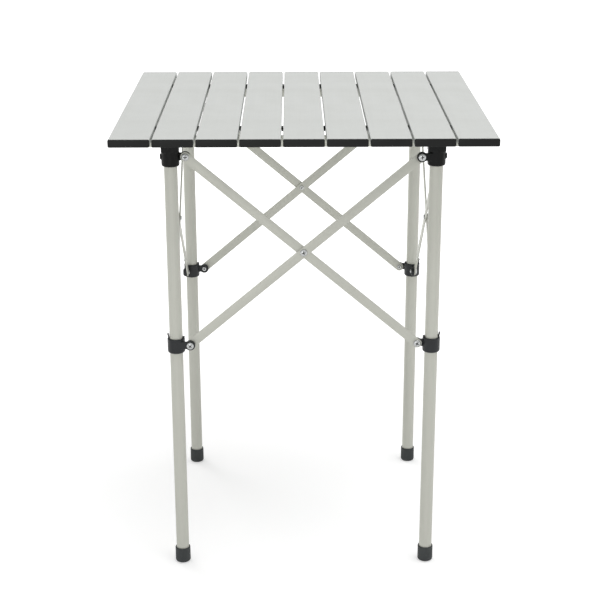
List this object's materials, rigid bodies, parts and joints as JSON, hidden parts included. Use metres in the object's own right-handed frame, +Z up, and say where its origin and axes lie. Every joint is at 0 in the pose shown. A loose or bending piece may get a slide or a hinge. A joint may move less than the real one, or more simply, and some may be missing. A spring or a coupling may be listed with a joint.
{
  "type": "folding camp table",
  "caption": "Square folding camp table with a roll-up slatted aluminium top on a scissor-linked four-leg frame with sliding collars.",
  "frame": {"origin": "on the ground, under the middle of the top", "axes": "+Z up; the slats run along Y and the front faces -Y; +X to the right seen from the front"},
  "size_m": [0.5488, 0.551, 0.7],
  "materials": {
    "slat_aluminium": "light grey anodised or lacquered, satin",
    "frame_aluminium": "warm grey anodised, satin",
    "cap_plastic": "black moulded, matt",
    "black_plastic": "charcoal moulded, matt",
    "foot_rubber": "charcoal rubber, matt",
    "zinc_steel": "bright zinc plated",
    "elastic_cord": "black"
  },
  "bodies": {
    "corner_front_left": {"leg_front_left": "frame_aluminium", "foot_front_left": "foot_rubber", "bracket_front_left": "black_plastic"},
    "front_inner_bar": {"front_inner_bar": "frame_aluminium"},
    "front_outer_bar": {"front_outer_bar": "frame_aluminium", "crossing_pin_front": "zinc_steel"},
    "right_inner_bar": {"right_inner_bar": "frame_aluminium"},
    "right_outer_bar": {"right_outer_bar": "frame_aluminium", "crossing_pin_right": "zinc_steel"},
    "back_inner_bar": {"back_inner_bar": "frame_aluminium"},
    "back_outer_bar": {"back_outer_bar": "frame_aluminium", "crossing_pin_back": "zinc_steel"},
    "left_inner_bar": {"left_inner_bar": "frame_aluminium"},
    "left_outer_bar": {"left_outer_bar": "frame_aluminium", "crossing_pin_left": "zinc_steel"},
    "corner_front_right": {"leg_front_right": "frame_aluminium", "foot_front_right": "foot_rubber", "bracket_front_right": "black_plastic"},
    "corner_back_right": {"leg_back_right": "frame_aluminium", "foot_back_right": "foot_rubber", "bracket_back_right": "black_plastic"},
    "corner_back_left": {"leg_back_left": "frame_aluminium", "foot_back_left": "foot_rubber", "bracket_back_left": "black_plastic"},
    "slider_front_left": {"slider_front_left": "black_plastic"},
    "slider_front_right": {"slider_front_right": "black_plastic"},
    "slider_back_right": {"slider_back_right": "black_plastic"},
    "slider_back_left": {"slider_back_left": "black_plastic"},
    "front_rail": {"front_rail": "frame_aluminium"},
    "back_rail": {"back_rail": "frame_aluminium"},
    "slat_1": {"slat_1": "slat_aluminium", "slat_1_front_cap": "cap_plastic", "slat_1_back_cap": "cap_plastic", "elastic_cord_front": "elastic_cord", "elastic_cord_back": "elastic_cord"},
    "slat_2": {"slat_2": "slat_aluminium", "slat_2_front_cap": "cap_plastic", "slat_2_back_cap": "cap_plastic"},
    "slat_3": {"slat_3": "slat_aluminium", "slat_3_front_cap": "cap_plastic", "slat_3_back_cap": "cap_plastic"},
    "slat_4": {"slat_4": "slat_aluminium", "slat_4_front_cap": "cap_plastic", "slat_4_back_cap": "cap_plastic"},
    "slat_5": {"slat_5": "slat_aluminium", "slat_5_front_cap": "cap_plastic", "slat_5_back_cap": "cap_plastic"},
    "slat_6": {"slat_6": "slat_aluminium", "slat_6_front_cap": "cap_plastic", "slat_6_back_cap": "cap_plastic"},
    "slat_7": {"slat_7": "slat_aluminium", "slat_7_front_cap": "cap_plastic", "slat_7_back_cap": "cap_plastic"},
    "slat_8": {"slat_8": "slat_aluminium", "slat_8_front_cap": "cap_plastic", "slat_8_back_cap": "cap_plastic"},
    "slat_9": {"slat_9": "slat_aluminium", "slat_9_front_cap": "cap_plastic", "slat_9_back_cap": "cap_plastic"}
  },
  "joints": [
    {"name": "frame_fold", "type": "hinge", "parent": "corner_front_left", "child": "front_inner_bar", "pos_m": [-0.17195, -0.19715, 0.6581], "axis": [0, 1, 0], "range_deg": [0, 47.5]},
    {"name": "front_crossing", "type": "hinge", "parent": "front_inner_bar", "child": "front_outer_bar", "pos_m": [0, -0.19945, 0.51361], "axis": [0, -1, 0], "range_deg": [0, 95]},
    {"name": "front_right_top_pin", "type": "hinge", "parent": "front_outer_bar", "child": "corner_front_right", "pos_m": [0.17195, -0.19945, 0.6581], "axis": [0, 1, 0], "range_deg": [0, 47.5]},
    {"name": "front_left_slider_pin", "type": "hinge", "parent": "front_outer_bar", "child": "slider_front_left", "pos_m": [-0.17195, -0.19945, 0.36911], "axis": [0, 1, 0], "range_deg": [0, 47.5]},
    {"name": "front_right_slider_pin", "type": "hinge", "parent": "front_inner_bar", "child": "slider_front_right", "pos_m": [0.17195, -0.19715, 0.36911], "axis": [0, -1, 0], "range_deg": [0, 47.5]},
    {"name": "left_fold", "type": "hinge", "parent": "corner_front_left", "child": "left_outer_bar", "pos_m": [-0.19945, -0.17195, 0.6581], "axis": [-1, 0, 0], "range_deg": [0, 47.5]},
    {"name": "left_crossing", "type": "hinge", "parent": "left_outer_bar", "child": "left_inner_bar", "pos_m": [-0.19715, 0, 0.51361], "axis": [1, 0, 0], "range_deg": [0, 95]},
    {"name": "back_left_top_pin", "type": "hinge", "parent": "left_inner_bar", "child": "corner_back_left", "pos_m": [-0.19715, 0.17195, 0.6581], "axis": [-1, 0, 0], "range_deg": [0, 47.5]},
    {"name": "back_left_slider_pin", "type": "hinge", "parent": "left_outer_bar", "child": "slider_back_left", "pos_m": [-0.19945, 0.17195, 0.36911], "axis": [1, 0, 0], "range_deg": [0, 47.5]},
    {"name": "right_fold", "type": "hinge", "parent": "corner_front_right", "child": "right_inner_bar", "pos_m": [0.19715, -0.17195, 0.6581], "axis": [-1, 0, 0], "range_deg": [0, 47.5]},
    {"name": "right_crossing", "type": "hinge", "parent": "right_inner_bar", "child": "right_outer_bar", "pos_m": [0.19945, 0, 0.51361], "axis": [1, 0, 0], "range_deg": [0, 95]},
    {"name": "back_right_top_pin", "type": "hinge", "parent": "right_outer_bar", "child": "corner_back_right", "pos_m": [0.19945, 0.17195, 0.6581], "axis": [-1, 0, 0], "range_deg": [0, 47.5]},
    {"name": "back_right_slider_pin", "type": "hinge", "parent": "right_inner_bar", "child": "slider_back_right", "pos_m": [0.19715, 0.17195, 0.36911], "axis": [1, 0, 0], "range_deg": [0, 47.5]},
    {"name": "back_inner_fold", "type": "hinge", "parent": "corner_back_right", "child": "back_inner_bar", "pos_m": [0.17195, 0.19715, 0.6581], "axis": [0, -1, 0], "range_deg": [0, 47.5]},
    {"name": "back_outer_fold", "type": "hinge", "parent": "corner_back_left", "child": "back_outer_bar", "pos_m": [-0.17195, 0.19945, 0.6581], "axis": [0, 1, 0], "range_deg": [0, 47.5]},
    {"name": "rail_lift", "type": "slide", "parent": "corner_front_left", "child": "front_rail", "axis": [0, 0, 1], "range_m": [0, 0.12]},
    {"name": "back_rail_lift", "type": "slide", "parent": "corner_back_left", "child": "back_rail", "axis": [0, 0, 1], "range_m": [0, 0.12]},
    {"name": "top_lift", "type": "slide", "parent": "front_rail", "child": "slat_1", "axis": [0, 0, 1], "range_m": [0, 0.2]},
    {"name": "top_roll", "type": "hinge", "parent": "slat_1", "child": "slat_2", "pos_m": [-0.21455, 0, 0.7], "axis": [0, -1, 0], "range_deg": [0, 84], "deforming": ["elastic_cord_front", "elastic_cord_back"]},
    {"name": "slat_3_hinge", "type": "hinge", "parent": "slat_2", "child": "slat_3", "pos_m": [-0.15325, 0, 0.7], "axis": [0, -1, 0], "range_deg": [0, 34.02]},
    {"name": "slat_4_hinge", "type": "hinge", "parent": "slat_3", "child": "slat_4", "pos_m": [-0.09195, 0, 0.7], "axis": [0, -1, 0], "range_deg": [0, 31.92]},
    {"name": "slat_5_hinge", "type": "hinge", "parent": "slat_4", "child": "slat_5", "pos_m": [-0.03065, 0, 0.7], "axis": [0, -1, 0], "range_deg": [0, 34.86]},
    {"name": "slat_6_hinge", "type": "hinge", "parent": "slat_5", "child": "slat_6", "pos_m": [0.03065, 0, 0.7], "axis": [0, -1, 0], "range_deg": [0, 43.26]},
    {"name": "slat_7_hinge", "type": "hinge", "parent": "slat_6", "child": "slat_7", "pos_m": [0.09195, 0, 0.7], "axis": [0, -1, 0], "range_deg": [0, 39.06]},
    {"name": "slat_8_hinge", "type": "hinge", "parent": "slat_7", "child": "slat_8", "pos_m": [0.15325, 0, 0.7], "axis": [0, -1, 0], "range_deg": [0, 99.96]},
    {"name": "slat_9_hinge", "type": "hinge", "parent": "slat_8", "child": "slat_9", "pos_m": [0.21455, 0, 0.7], "axis": [0, -1, 0], "range_deg": [0, 99.96]}
  ],
  "couplings": [
    {"joint": "front_crossing", "follows": "frame_fold", "ratio": 2},
    {"joint": "front_right_top_pin", "follows": "frame_fold", "ratio": 1},
    {"joint": "front_left_slider_pin", "follows": "frame_fold", "ratio": 1},
    {"joint": "front_right_slider_pin", "follows": "frame_fold", "ratio": 1},
    {"joint": "left_fold", "follows": "frame_fold", "ratio": 1},
    {"joint": "left_crossing", "follows": "frame_fold", "ratio": 2},
    {"joint": "back_left_top_pin", "follows": "frame_fold", "ratio": 1},
    {"joint": "back_left_slider_pin", "follows": "frame_fold", "ratio": 1},
    {"joint": "right_fold", "follows": "frame_fold", "ratio": 1},
    {"joint": "right_crossing", "follows": "frame_fold", "ratio": 2},
    {"joint": "back_right_top_pin", "follows": "frame_fold", "ratio": 1},
    {"joint": "back_right_slider_pin", "follows": "frame_fold", "ratio": 1},
    {"joint": "back_inner_fold", "follows": "frame_fold", "ratio": 1},
    {"joint": "back_outer_fold", "follows": "frame_fold", "ratio": 1},
    {"joint": "back_rail_lift", "follows": "rail_lift", "ratio": 1},
    {"joint": "slat_3_hinge", "follows": "top_roll", "ratio": 0.405},
    {"joint": "slat_4_hinge", "follows": "top_roll", "ratio": 0.38},
    {"joint": "slat_5_hinge", "follows": "top_roll", "ratio": 0.415},
    {"joint": "slat_6_hinge", "follows": "top_roll", "ratio": 0.515},
    {"joint": "slat_7_hinge", "follows": "top_roll", "ratio": 0.465},
    {"joint": "slat_8_hinge", "follows": "top_roll", "ratio": 1.19},
    {"joint": "slat_9_hinge", "follows": "top_roll", "ratio": 1.19}
  ]
}
